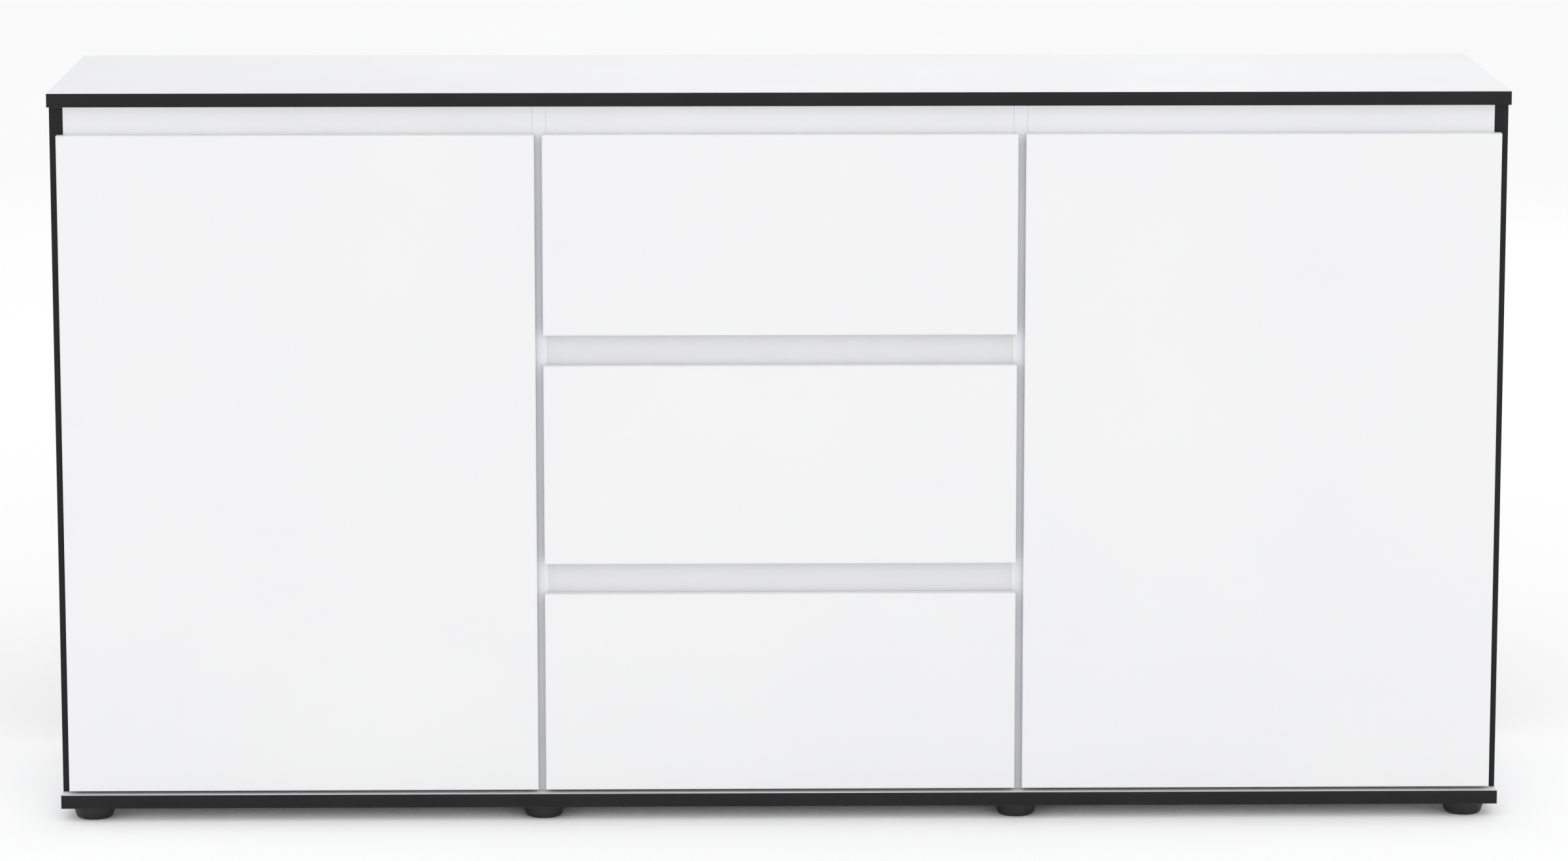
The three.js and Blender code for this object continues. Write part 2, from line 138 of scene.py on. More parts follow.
# Screws, and the nails in the back panels
SCREW_RADIUS = 3.6 * MM
NAIL_PITCH = 118 * MM
NAIL_INSET = 9 * MM
NAIL_SINK = 0.6 * MM
NAIL_RADIUS = 2.3 * MM
NAIL_PLAY = 0.3 * MM
NAIL_HEAD = [(0, 0), (NAIL_RADIUS, 0), (NAIL_RADIUS, 0.25 * MM), (NAIL_RADIUS - 0.25 * MM, 0.45 * MM),
             (0, 0.55 * MM)]

# Studio, with angles in degrees. A soft light has its place, its size and its power.
CAMERA_PLACE = (-0.095, -6.431, 1.505)
CAMERA_TILT = 90 - 9.69
CAMERA_TURN = -0.91
CAMERA_LENS = 131.7
SENSOR_WIDTH = 36.0
VIEW_END = 200.0
FLOOR_HALF = 40.0
FLOOR_THICKNESS = 0.05
LIGHT_AIM = (0, 0, 0.45)
ROOM_COLOUR = (0.99, 0.992, 1.0, 1.0)
ROOM_STRENGTH = 0.89
FRONT_SUN_DIRECTION = (-0.12, 1.0, -0.62)
FRONT_SUN_ENERGY = 0.6
FRONT_SUN_SPREAD = 70
SOFT_LIGHTS = (("top_light", (0, -0.3, 3.6), 3.0, 4), ("front_light", (0.4, -5.0, 2.2), 3.0, 8),
               ("left_light", (-4.0, -1.5, 2.2), 2.2, 7), ("right_light", (4.0, -1.0, 2.2), 2.2, 4),
               ("back_light", (0.5, 4.5, 2.4), 2.4, 8))


# ---------------------------------------------------------------- shader groups

def colour(code):
    """A hex colour as linear red, green, blue and alpha."""
    parts = [int(code[i:i + 2], 16) / 255 for i in (1, 3, 5)]
    return [p / 12.92 if p <= 0.04045 else ((p + 0.055) / 1.055) ** 2.4 for p in parts] + [1.0]


def add_node(tree, kind, inputs=None, **settings):
    """A node with its settings made, and each input given a value or another node's output."""
    node = tree.nodes.new(kind)
    for name, value in settings.items():
        setattr(node, name, value)
    for name, value in (inputs or {}).items():
        if isinstance(value, bpy.types.NodeSocket):
            tree.links.new(value, node.inputs[name])
        else:
            node.inputs[name].default_value = value
    return node


def math_node(tree, operation, *values, clamp=False):
    return add_node(tree, "ShaderNodeMath", dict(enumerate(values)), operation=operation,
                    use_clamp=clamp).outputs[0]


def new_group(name, inputs, outputs):
    """An empty shader group with named float inputs, their usual values, and named outputs."""
    tree = bpy.data.node_groups.new(name, "ShaderNodeTree")
    for label, usual in inputs.items():
        socket = tree.interface.new_socket(label, in_out="INPUT", socket_type="NodeSocketFloat")
        socket.default_value = usual
    for label in outputs:
        tree.interface.new_socket(label, in_out="OUTPUT", socket_type="NodeSocketFloat")
    return tree, tree.nodes.new("NodeGroupInput").outputs, tree.nodes.new("NodeGroupOutput").inputs


def noise_at(tree, size, detail=2.0, stretch=None):
    """Noise whose features are about size across, in the piece's own coordinates."""
    place = tree.nodes.new("ShaderNodeTexCoord").outputs["Object"]
    if stretch:
        place = add_node(tree, "ShaderNodeMapping", {"Vector": place, "Scale": stretch}).outputs[0]
    scale = math_node(tree, "DIVIDE", 1.0, size)
    return add_node(tree, "ShaderNodeTexNoise",
                    {"Vector": place, "Scale": scale, "Detail": detail}).outputs["Fac"]


def make_grain_group():
    """Grain is the fine skin of a foil or a moulding. Cloud is the slow change of tone across it."""
    tree, given, result = new_group("board_grain", {"Grain Size": 0.0006, "Cloud Size": 0.2},
                                    ("Grain", "Cloud"))
    tree.links.new(noise_at(tree, given["Grain Size"]), result["Grain"])
    cloud = noise_at(tree, given["Cloud Size"], detail=3.0)
    spread = add_node(tree, "ShaderNodeMapRange", {"Value": cloud, "From Min": 0.3, "From Max": 0.7})
    tree.links.new(spread.outputs[0], result["Cloud"])
    return tree


def make_rub_group():
    """Rub is 1 where an edge has been handled and 0 on the flat."""
    tree, given, result = new_group("edge_rub", {"Reach": 0.001, "Patch Size": 0.02}, ("Rub",))
    rounded = add_node(tree, "ShaderNodeBevel", {"Radius": given["Reach"]}, samples=4).outputs[0]
    flat = tree.nodes.new("ShaderNodeNewGeometry").outputs["Normal"]
    facing = add_node(tree, "ShaderNodeVectorMath", {0: rounded, 1: flat},
                      operation="DOT_PRODUCT").outputs["Value"]
    edge = add_node(tree, "ShaderNodeMapRange",
                    {"Value": facing, "From Min": 0.995, "From Max": 0.85}).outputs[0]
    patches = add_node(tree, "ShaderNodeMapRange", {"Value": noise_at(tree, given["Patch Size"], 4.0),
                                                    "From Min": 0.38, "From Max": 0.62}).outputs[0]
    tree.links.new(math_node(tree, "MULTIPLY", edge, patches, clamp=True), result["Rub"])
    return tree


def make_flake_group():
    """Pressed wood flakes: Tone differs from flake to flake, and Relief is their height."""
    tree, given, result = new_group("wood_flakes", {"Flake Size": 0.003}, ("Tone", "Relief"))
    place = tree.nodes.new("ShaderNodeTexCoord").outputs["Object"]
    scale = math_node(tree, "DIVIDE", 1.0, given["Flake Size"])
    cells = add_node(tree, "ShaderNodeTexVoronoi", {"Vector": place, "Scale": scale, "Randomness": 1.0})
    tone = add_node(tree, "ShaderNodeSeparateColor", {"Color": cells.outputs["Color"]}).outputs[0]
    tree.links.new(tone, result["Tone"])
    fine = noise_at(tree, math_node(tree, "MULTIPLY", given["Flake Size"], 0.3), 4.0)
    relief = math_node(tree, "ADD", math_node(tree, "MULTIPLY", tone, 0.5), fine)
    tree.links.new(relief, result["Relief"])
    return tree


def make_scratch_group():
    """Fine straight scratches, as drawn or rubbed metal and plastic have."""
    tree, given, result = new_group("fine_scratches", {"Width": 0.0004}, ("Scratch",))
    lengthways = noise_at(tree, given["Width"], 3.0, (0.03, 1.0, 1.0))
    across = noise_at(tree, given["Width"], 3.0, (1.0, 1.0, 0.03))
    tree.links.new(math_node(tree, "MAXIMUM", lengthways, across), result["Scratch"])
    return tree


GRAIN = make_grain_group()
RUB = make_rub_group()
FLAKES = make_flake_group()
SCRATCHES = make_scratch_group()


# ---------------------------------------------------------------- finishes

def use_group(tree, group, inputs):
    """Places a shared group with its own values."""
    return add_node(tree, "ShaderNodeGroup", inputs, node_tree=group).outputs


def mix_colours(tree, share, first, second):
    return add_node(tree, "ShaderNodeMix", {0: share, 6: first, 7: second}, data_type="RGBA").outputs[2]


def between(tree, value, low, high):
    """A value from 0 to 1 spread between low and high."""
    return add_node(tree, "ShaderNodeMapRange", {"Value": value, "To Min": low, "To Max": high}).outputs[0]


def new_finish(name, **shader_values):
    """A material with one Principled shader, whose plain values sit on its own sockets."""
    material = bpy.data.materials.new(name)
    material.use_nodes = True
    tree = material.node_tree
    shader = tree.nodes["Principled BSDF"]
    for label, value in shader_values.items():
        shader.inputs[label.replace("_", " ")].default_value = value
    return material, tree, shader


def lay_relief(tree, shader, height, depth):
    """Gives a shader a relief of the given depth."""
    bump = add_node(tree, "ShaderNodeBump", {"Height": height, "Distance": depth, "Strength": 1.0})
    tree.links.new(bump.outputs["Normal"], shader.inputs["Normal"])


def skin_finish(name, tone, shade, rubbed, gloss, grain=0.6 * MM, cloud=0.25, relief=0.04 * MM,
                reach=0.8 * MM, rub=0.3, **shader_values):
    """A foil, lacquer, paint or moulding: clouded tone, fine grain, and edges that handling has rubbed."""
    material, tree, shader = new_finish(name, **shader_values)
    skin = use_group(tree, GRAIN, {"Grain Size": grain, "Cloud Size": cloud})
    worn = use_group(tree, RUB, {"Reach": reach})["Rub"]
    ground = mix_colours(tree, skin["Cloud"], colour(tone), colour(shade))
    share = math_node(tree, "MULTIPLY", worn, rub)
    tree.links.new(mix_colours(tree, share, ground, colour(rubbed)), shader.inputs["Base Color"])
    handled = math_node(tree, "ADD", math_node(tree, "MULTIPLY", skin["Grain"], 0.35),
                        math_node(tree, "MULTIPLY", skin["Cloud"], 0.65))
    tree.links.new(between(tree, handled, gloss[0], gloss[1]), shader.inputs["Roughness"])
    lay_relief(tree, shader, skin["Grain"], relief)
    return material


def flake_finish(name, pale, dark, size, relief, roughness):
    """Bare pressed wood, as on an unbanded board edge or the back of hardboard."""
    material, tree, shader = new_finish(name)
    flakes = use_group(tree, FLAKES, {"Flake Size": size})
    skin = use_group(tree, GRAIN, {"Grain Size": size * 0.2, "Cloud Size": size * 40})
    wood = mix_colours(tree, flakes["Tone"], colour(pale), colour(dark))
    dirt = math_node(tree, "MULTIPLY", skin["Cloud"], 0.25)
    tree.links.new(mix_colours(tree, dirt, wood, colour(dark)), shader.inputs["Base Color"])
    tree.links.new(between(tree, skin["Grain"], roughness, 1.0), shader.inputs["Roughness"])
    lay_relief(tree, shader, flakes["Relief"], relief)
    return material


def metal_finish(name, bright, dull, gloss, width=0.4 * MM):
    """Plated steel with fine scratches and duller clouds."""
    material, tree, shader = new_finish(name, Metallic=1.0)
    skin = use_group(tree, GRAIN, {"Grain Size": 0.3 * MM, "Cloud Size": 0.012})
    scratch = use_group(tree, SCRATCHES, {"Width": width})["Scratch"]
    worn = use_group(tree, RUB, {"Reach": 0.4 * MM})["Rub"]
    ground = mix_colours(tree, skin["Cloud"], colour(bright), colour(dull))
    tree.links.new(mix_colours(tree, worn, ground, colour("#e9eaec")), shader.inputs["Base Color"])
    marks = math_node(tree, "MULTIPLY", math_node(tree, "ADD", scratch, skin["Cloud"]), 0.5)
    tree.links.new(between(tree, marks, gloss[0], gloss[1]), shader.inputs["Roughness"])
    lay_relief(tree, shader, scratch, 0.01 * MM)
    return material


def banded_edge_finish():
    """Black plastic edging: lengthways drawing lines, and corners rubbed to a paler grey."""
    material, tree, shader = new_finish("black_edge_plastic", Specular_IOR_Level=0.25)
    skin = use_group(tree, GRAIN, {"Grain Size": 0.4 * MM, "Cloud Size": 0.08})
    lines = use_group(tree, SCRATCHES, {"Width": 0.5 * MM})["Scratch"]
    worn = use_group(tree, RUB, {"Reach": 0.7 * MM, "Patch Size": 0.035})["Rub"]
    ground = mix_colours(tree, skin["Cloud"], colour("#111112"), colour("#161617"))
    share = math_node(tree, "MULTIPLY", worn, 0.6)
    tree.links.new(mix_colours(tree, share, ground, colour("#5c5c5d")), shader.inputs["Base Color"])
    tree.links.new(between(tree, lines, 0.42, 0.62), shader.inputs["Roughness"])
    height = math_node(tree, "ADD", skin["Grain"], lines)
    lay_relief(tree, shader, height, 0.015 * MM)
    return material


def linen_foil_finish(name, tone, shade, pitch):
    """Drawer foil embossed with a fine linen weave."""
    material, tree, shader = new_finish(name, Specular_IOR_Level=0.4)
    place = tree.nodes.new("ShaderNodeTexCoord").outputs["Object"]
    threads = []
    for direction in ("X", "Y", "Z"):
        wave = add_node(tree, "ShaderNodeTexWave",
                        {"Vector": place, "Scale": 1 / (pitch * 20), "Distortion": 1.5, "Detail": 2.0,
                         "Detail Scale": 3.0}, wave_type="BANDS", bands_direction=direction)
        threads.append(wave.outputs["Fac"])
    weave = math_node(tree, "MULTIPLY", math_node(tree, "ADD", threads[0], threads[1]), threads[2])
    skin = use_group(tree, GRAIN, {"Grain Size": 0.5 * MM, "Cloud Size": 0.15})
    worn = use_group(tree, RUB, {"Reach": 0.8 * MM})["Rub"]
    ground = mix_colours(tree, skin["Cloud"], colour(tone), colour(shade))
    share = math_node(tree, "MULTIPLY", worn, 0.4)
    tree.links.new(mix_colours(tree, share, ground, colour("#b9b6b0")), shader.inputs["Base Color"])
    tree.links.new(between(tree, weave, 0.45, 0.62), shader.inputs["Roughness"])
    lay_relief(tree, shader, weave, 0.03 * MM)
    return material


melamine = skin_finish("white_melamine", "#eaeaeb", "#e7e7e8", "#d3d4d6", (0.4, 0.52), relief=0.06 * MM,
                       Specular_IOR_Level=0.35)
front_skin = skin_finish("smooth_white_front", "#e6e6e6", "#e3e3e4", "#cfcfd0", (0.26, 0.4),
                         relief=0.025 * MM, cloud=0.35)
# The rails are one white melamine in two copies. The top rails' copy is painted lighter, a painted light that
# lifts the shade under the top's overhang. The drawer rails' copy is painted darker, a painted shade for the
# gaps between the drawers.
top_rail_skin_painted_lighter = skin_finish("top_rail_melamine_painted_light", "#ebebec", "#e7e7e8", "#c4c5c8", (0.4, 0.52),
                            relief=0.06 * MM)
drawer_rail_skin_painted_darker = skin_finish("drawer_rail_melamine_painted_shade", "#e0e0e1", "#dcdcdd", "#c4c5c8", (0.4, 0.52),
                               relief=0.06 * MM)
white_band = skin_finish("white_edge_plastic", "#ebebed", "#e5e6e8", "#c3c4c5", (0.35, 0.5), cloud=0.06,
                         reach=0.5 * MM)
black_band = banded_edge_finish()
chipboard = flake_finish("bare_chipboard", "#c9a877", "#8f6c43", 2.2 * MM, 0.25 * MM, 0.8)
hardboard = flake_finish("brown_hardboard", "#8d6a49", "#74543a", 0.9 * MM, 0.04 * MM, 0.6)
back_foil = skin_finish("white_back_foil", "#e6e6e4", "#dfdfdd", "#c9c6bf", (0.5, 0.65), relief=0.03 * MM)
drawer_foil = linen_foil_finish("linen_drawer_foil", "#dcdcdc", "#d3d3d3", 0.7 * MM)
drawer_band = skin_finish("drawer_edge_foil", "#dadada", "#d0d0d0", "#b8b6b2", (0.4, 0.55), cloud=0.05)
foot_plastic = skin_finish("black_foot_plastic", "#151516", "#1a1a1b", "#3a3a3b", (0.42, 0.6), grain=0.5 * MM,
                           cloud=0.02, relief=0.05 * MM, rub=0.7)
powder_coat = skin_finish("white_powder_coat", "#e2e3e4", "#d9dadb", "#a9abad", (0.35, 0.5), grain=0.9 * MM,
                          cloud=0.05, relief=0.05 * MM, rub=0.8, reach=0.5 * MM)
nylon = skin_finish("milky_nylon", "#e8e6df", "#dcd9d0", "#bdb9b0", (0.35, 0.5), cloud=0.01,
                    Subsurface_Weight=0.15, Subsurface_Scale=2 * MM)
cap_plastic = skin_finish("white_cap_plastic", "#e6e6e5", "#dededd", "#c4c4c2", (0.3, 0.45), cloud=0.01)
bumper_rubber = skin_finish("clear_bumper_rubber", "#d9dad8", "#cccdca", "#e3e4e2", (0.2, 0.35), cloud=0.006,
                            Transmission_Weight=0.6, IOR=1.45)
nickel = metal_finish("nickel_plate", "#d0d0d1", "#b6b6b8", (0.2, 0.4))
zinc = metal_finish("zinc_plate", "#b9bcc0", "#95989c", (0.28, 0.5), width=0.25 * MM)


# ---------------------------------------------------------------- shapes

FACES_OF_A_BLOCK = ((0, 1, 3, 2), (4, 6, 7, 5), (0, 4, 5, 1), (2, 3, 7, 6), (0, 2, 6, 4), (1, 5, 7, 3))
PLANES = {"x": (1, 2, 0), "y": (0, 2, 1), "z": (0, 1, 2)}


def add_block(shape, low, high, rounding=0.0, steps=2):
    """A box between two corners, its edges rounded."""
    corners = [shape.verts.new((x, y, z)) for x in (low[0], high[0]) for y in (low[1], high[1])
               for z in (low[2], high[2])]
    faces = [shape.faces.new([corners[i] for i in ring]) for ring in FACES_OF_A_BLOCK]
    if rounding:
        edges = list({edge for face in faces for edge in face.edges})
        bmesh.ops.bevel(shape, geom=edges, offset=rounding, segments=steps, profile=0.5, affect="EDGES",
                        clamp_overlap=True)


def spot(axis, across, up, along):
    """The point at across and up in the plane square to axis, and at along on the axis."""
    point = [0.0, 0.0, 0.0]
    first, second, third = PLANES[axis]
    point[first], point[second], point[third] = across, up, along
    return point


def add_extrusion(shape, outline, axis, start, end):
    """An outline, given in the plane square to axis, carried from start to end."""
    rings = [[shape.verts.new(spot(axis, a, b, along)) for a, b in outline] for along in (start, end)]
    shape.faces.new(rings[0])
    shape.faces.new(rings[1][::-1])
    for i in range(len(outline)):
        j = (i + 1) % len(outline)
        shape.faces.new((rings[0][i], rings[1][i], rings[1][j], rings[0][j]))


def add_turning(shape, profile, centre, axis, way, sides):
    """A profile of (radius, height) points turned about axis through centre. Height runs along way."""
    first, second, third = PLANES[axis]
    rings = []
    for radius, height in profile:
        ring = []
        for i in range(1 if radius == 0 else sides):
            angle = 2 * math.pi * i / sides
            point = list(centre)
            point[first] += radius * math.cos(angle)
            point[second] += radius * math.sin(angle)
            point[third] += way * height
            ring.append(shape.verts.new(point))
        rings.append(ring)
    for below, above in zip(rings, rings[1:]):
        for i in range(sides):
            j = (i + 1) % sides
            corners = [below[i % len(below)], below[j % len(below)], above[j % len(above)],
                       above[i % len(above)]]
            ring = list(dict.fromkeys(corners))
            if len(ring) > 2:
                shape.faces.new(ring)


def rounded_path(points, radius, steps=5):
    """An open path of straight runs, its inner corners turned with arcs."""
    path = [Vector(points[0])]
    for before, corner, after in zip(points, points[1:], points[2:]):
        corner = Vector(corner)
        back, on = (Vector(before) - corner).normalized(), (Vector(after) - corner).normalized()
        half = back.angle(on) / 2
        setback = radius / math.tan(half)
        centre = corner + (back + on).normalized() * (radius / math.sin(half))
        start, end = corner + back * setback - centre, corner + on * setback - centre
        for i in range(steps + 1):
            path.append(centre + start.slerp(end, i / steps) * radius)
    path.append(Vector(points[-1]))
    return path


def sheet_outline(points, thickness, radius):
    """The outline of bent sheet metal that follows points."""
    path = rounded_path(points, radius)
    sides = ([], [])
    for i, point in enumerate(path):
        ahead = path[min(i + 1, len(path) - 1)] - path[max(i - 1, 0)]
        out = Vector((-ahead.y, ahead.x)).normalized() * thickness / 2
        sides[0].append(tuple(point + out))
        sides[1].append(tuple(point - out))
    return sides[0] + sides[1][::-1]


def arc(radius, centre_radius, centre_height, start, end, steps=6):
    """Profile points on an arc between two angles in degrees."""
    angles = [math.radians(start + (end - start) * i / steps) for i in range(steps + 1)]
    return [(centre_radius + radius * math.cos(a), centre_height + radius * math.sin(a)) for a in angles]


def rounded_rectangle(low, high, radius):
    """The outline of a rectangle between two corners, its own corners rounded."""
    corners = [(high[0] - radius, high[1] - radius, 0), (low[0] + radius, high[1] - radius, 90),
               (low[0] + radius, low[1] + radius, 180), (high[0] - radius, low[1] + radius, 270)]
    return [point for across, up, start in corners for point in arc(radius, across, up, start, start + 90)]


def add_copies(shape, source, places):
    """Copies of a finished mesh, one at each placing matrix."""
    for place in places:
        before = len(shape.verts)
        shape.from_mesh(source)
        shape.verts.ensure_lookup_table()
        bmesh.ops.transform(shape, matrix=place, verts=shape.verts[before:])


def facing(point, axis, way):
    """A placing matrix that turns up to point along axis, towards way."""
    direction = Vector([way if name == axis else 0.0 for name in "xyz"])
    return Matrix.Translation(point) @ direction.to_track_quat("Z", "Y").to_matrix().to_4x4()


def as_object(name, shape, finishes, smooth_below=None):
    """Turns a shape into an object with its finishes, smooth where faces meet below an angle."""
    bmesh.ops.recalc_face_normals(shape, faces=shape.faces[:])
    mesh = bpy.data.meshes.new(name)
    shape.to_mesh(mesh)
    shape.free()
    for material in finishes:
        mesh.materials.append(material)
    if smooth_below:
        mesh.shade_smooth()
        mesh.set_sharp_from_angle(angle=math.radians(smooth_below))
    made = bpy.data.objects.new(name, mesh)
    bpy.context.scene.collection.objects.link(made)
    return made


def cut_away(target, cutter, finish_index=1):
    """Cuts a shape out of an object. The new walls take the object's finish at finish_index."""
    for face in cutter.faces:
        face.material_index = finish_index
    tool = as_object("cutter", cutter, [])
    change = target.modifiers.new("cut", "BOOLEAN")
    change.operation = "DIFFERENCE"
    change.solver = "EXACT"
    change.object = tool
    bpy.context.view_layer.update()
    evaluated = target.evaluated_get(bpy.context.evaluated_depsgraph_get())
    mesh = bpy.data.meshes.new_from_object(evaluated)
    target.modifiers.clear()
    target.data = mesh
    mesh.name = target.name
    bpy.data.objects.remove(tool)


def hand_over(made, body, slot, *nodes):
    """Lets a finished piece ride on its body and stand for its CAD nodes."""
    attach(made, body)
    if nodes:
        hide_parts(*nodes)


# ---------------------------------------------------------------- boards

EDGE_AXES = {"-x": (0, -1), "+x": (0, 1), "-y": (1, -1), "+y": (1, 1), "-z": (2, -1), "+z": (2, 1)}
ALL_ROUND = {edge: white_band for edge in ("-x", "+x", "-z", "+z")}


def band_strips(low, high, edges, thickness):
    """Splits a board's box into its core and one strip for each banded edge, in the order given."""
    low, high, strips = list(low), list(high), []
    for edge in edges:
        axis, way = EDGE_AXES[edge]
        strip_low, strip_high = list(low), list(high)
        if way < 0:
            strip_high[axis] = low[axis] + thickness
            low[axis] += thickness
        else:
            strip_low[axis] = high[axis] - thickness
            high[axis] -= thickness
        strips.append((edge, strip_low, strip_high))
    return low, high, strips


def make_core(name, low, high, faces):
    """A board's core: finished on its two broad faces, bare wood on its edges."""
    shape = bmesh.new()
    add_block(shape, low, high, CORE_ROUNDING, 1)
    thin = min(range(3), key=lambda i: high[i] - low[i])
    for face in shape.faces:
        face.normal_update()
        if abs(face.normal[thin]) < 0.5:
            face.material_index = 1
    return as_object(name, shape, [faces, chipboard])


def make_band(name, low, high, edge, material):
    """A strip of edging, the long corners of its outer face eased."""
    axis, way = EDGE_AXES[edge]
    outer = (high if way > 0 else low)[axis]
    lengthways = max(range(3), key=lambda i: high[i] - low[i])
    shape = bmesh.new()
    add_block(shape, low, high)
    rims = [side for side in shape.edges if all(abs(end.co[axis] - outer) < TOUCH for end in side.verts)
            and abs(side.verts[0].co[lengthways] - side.verts[1].co[lengthways]) > TOUCH]
    bmesh.ops.bevel(shape, geom=rims, offset=BAND_EASING * (high[axis] - low[axis]), segments=4,
                    profile=0.5, affect="EDGES", clamp_overlap=True)
    return as_object(name, shape, [material], TURNED)


def make_board(node, body, slot, faces, bands, thickness, box=None, cut=None):
    """A board that stands for its CAD node. Its bands say which finish each banded edge has."""
    low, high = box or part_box(node)
    core_low, core_high, strips = band_strips(low, high, bands, thickness)
    core = make_core(f"{node}_board", core_low, core_high, faces)
    if cut:
        cut_away(core, cut)
    hand_over(core, body, slot, node)
    for edge, strip_low, strip_high in strips:
        side = {"-": "low", "+": "high"}[edge[0]] + "_" + edge[1]
        strip = make_band(f"{node}_band_{side}", strip_low, strip_high, edge, bands[edge])
        hand_over(strip, body, slot)


def cylinder_cutter(shape, centre, axis, way, radius, depth, sides):
    """A round hole's cutter, whose mouth stands a little proud of the face at centre."""
    add_turning(shape, [(0, -MM), (radius, -MM), (radius, depth), (0, depth)], centre, axis, way, sides)


def make_shell():
    """Top, base, sides, partitions and rails."""
    for node in ("top_panel", "base_panel"):
        make_board(node, "cabinet", "white_melamine", melamine,
                   {"-y": black_band, "-x": white_band, "+x": white_band}, BLACK_BAND)
    for side, hand in HANDS:
        shelf_low, shelf_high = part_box(f"shelf_{side}")
        for name, inward in ((f"side_{side}", -hand), (f"partition_{side}", hand)):
            low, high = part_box(name)
            wall = (high if inward > 0 else low).x
            holes = bmesh.new()
            for y in (shelf_low.y + PIN_ROW_INSET, shelf_high.y - PIN_ROW_INSET):
                for step in range(-PIN_HOLES_EACH_WAY, PIN_HOLES_EACH_WAY + 1):
                    z = shelf_low.z - PIN_HOLE_RADIUS + step * PIN_PITCH
                    cylinder_cutter(holes, (wall, y, z), "x", -inward, PIN_HOLE_RADIUS, PIN_HOLE_DEPTH, 20)
            band_finish = black_band if name.startswith("side") else white_band
            make_board(name, "cabinet", "white_melamine", melamine, {"-y": band_finish}, BLACK_BAND,
                       cut=holes)
    # Each rail takes its own copy of the melamine: painted lighter for the top rails and painted darker for
    # the drawer rails, as painted light and painted shade in their recesses.
    rails = [(f"top_rail_{bay}", top_rail_skin_painted_lighter) for bay in BAYS]
    rails += [(f"drawer_rail_{name}", drawer_rail_skin_painted_darker) for name in ENDS]
    for node, skin in rails:
        low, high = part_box(node)
        low.x -= RAIL_PRESS
        high.x += RAIL_PRESS
        make_board(node, "cabinet", "white_rail", skin, {"-z": white_band, "+z": white_band}, WHITE_BAND,
                   box=(low, high))


def make_shelves():
    """Shelves, and the nickel pins under them."""
    for side, hand in HANDS:
        node = f"shelf_{side}"
        make_board(node, "cabinet", "white_melamine", melamine,
                   {edge: white_band for edge in ("-y", "-x", "+x")}, WHITE_BAND)
        low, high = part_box(node)
        outer, inner = f"side_{side}", f"partition_{side}"
        left_board, right_board = (outer, inner) if hand < 0 else (inner, outer)
        walls = ((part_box(left_board)[1].x, 1), (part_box(right_board)[0].x, -1))
        pins = bmesh.new()
        radius = PIN_HOLE_RADIUS - PIN_PLAY
        collar = radius + PIN_COLLAR
        profile = [(0, -0.8 * PIN_HOLE_DEPTH), (radius, -0.8 * PIN_HOLE_DEPTH), (radius, 0.3 * MM),
                   (collar, 0.3 * MM), (collar, 1.5 * MM), (radius, 1.8 * MM), (radius, PIN_REACH - MM),
                   (radius - 0.6 * MM, PIN_REACH), (0, PIN_REACH)]
        for wall, way in walls:
            for y in (low.y + PIN_ROW_INSET, high.y - PIN_ROW_INSET):
                add_turning(pins, profile, (wall, y, low.z - PIN_PLAY - radius), "x", way, 24)
        hand_over(as_object(f"shelf_pins_{side}", pins, [nickel], TURNED), "cabinet", "nickel_steel")


def make_caps():
    """Plastic caps over the cam fittings, near the corners of the end compartments."""
    profile = [(0, 0), (CAP_RADIUS, 0), *arc(0.7 * MM, CAP_RADIUS - 0.7 * MM, 0.4 * MM, 0, 90),
               (CAP_RADIUS * 0.72, 1.1 * MM), (CAP_RADIUS * 0.66, 0.8 * MM), (0, 0.8 * MM)]
    for side, hand in HANDS:
        for name, inward in ((f"side_{side}", -hand), (f"partition_{side}", hand)):
            low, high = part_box(name)
            wall = (high if inward > 0 else low).x
            caps = bmesh.new()
            for y in (low.y + CAP_FROM_EDGE, high.y - CAP_FROM_EDGE):
                for z in (low.z + CAP_INSET, high.z - CAP_INSET):
                    add_turning(caps, profile, (wall, y, z), "x", inward, 40)
            hand_over(as_object(f"cam_caps_{name}", caps, [cap_plastic], FORMED), "cabinet", "white_melamine")


# ---------------------------------------------------------------- screws, nails and back

def make_screw(radius):
    """A pan-head screw with a cross recess, standing on z = 0."""
    head = bmesh.new()
    rim = 0.25 * radius
    profile = [(0, 0), (radius, 0), (radius, rim), *arc(0.5 * radius, 0.5 * radius, rim, 0, 90, 5),
               (0, rim + 0.5 * radius)]
    add_turning(head, profile, (0, 0, 0), "z", 1, 28)
    screw = as_object("screw_pattern", head, [zinc, zinc])
    reach, half, floor = 0.55 * radius, 0.11 * radius, 0.25 * radius
    for along, across in ((reach, half), (half, reach)):
        slot = bmesh.new()
        add_block(slot, (-along, -across, floor), (along, across, radius))
        cut_away(screw, slot, 0)
    mesh = screw.data
    bpy.data.objects.remove(screw)
    return mesh


SCREW = make_screw(SCREW_RADIUS)


def place_screws(name, body, slot, places):
    """One piece with a screw at each placing matrix."""
    shape = bmesh.new()
    add_copies(shape, SCREW, places)
    hand_over(as_object(name, shape, [zinc], FORMED), body, slot)


def make_thin_sheet(name, low, high, axis, way, foil):
    """Thin hardboard with foil on the face that looks along axis, towards way."""
    shape = bmesh.new()
    add_block(shape, low, high, THIN_ROUNDING, 2)
    for face in shape.faces:
        face.normal_update()
        face.material_index = 0 if way * face.normal["xyz".index(axis)] > 0.5 else 1
    return as_object(name, shape, [foil, hardboard])


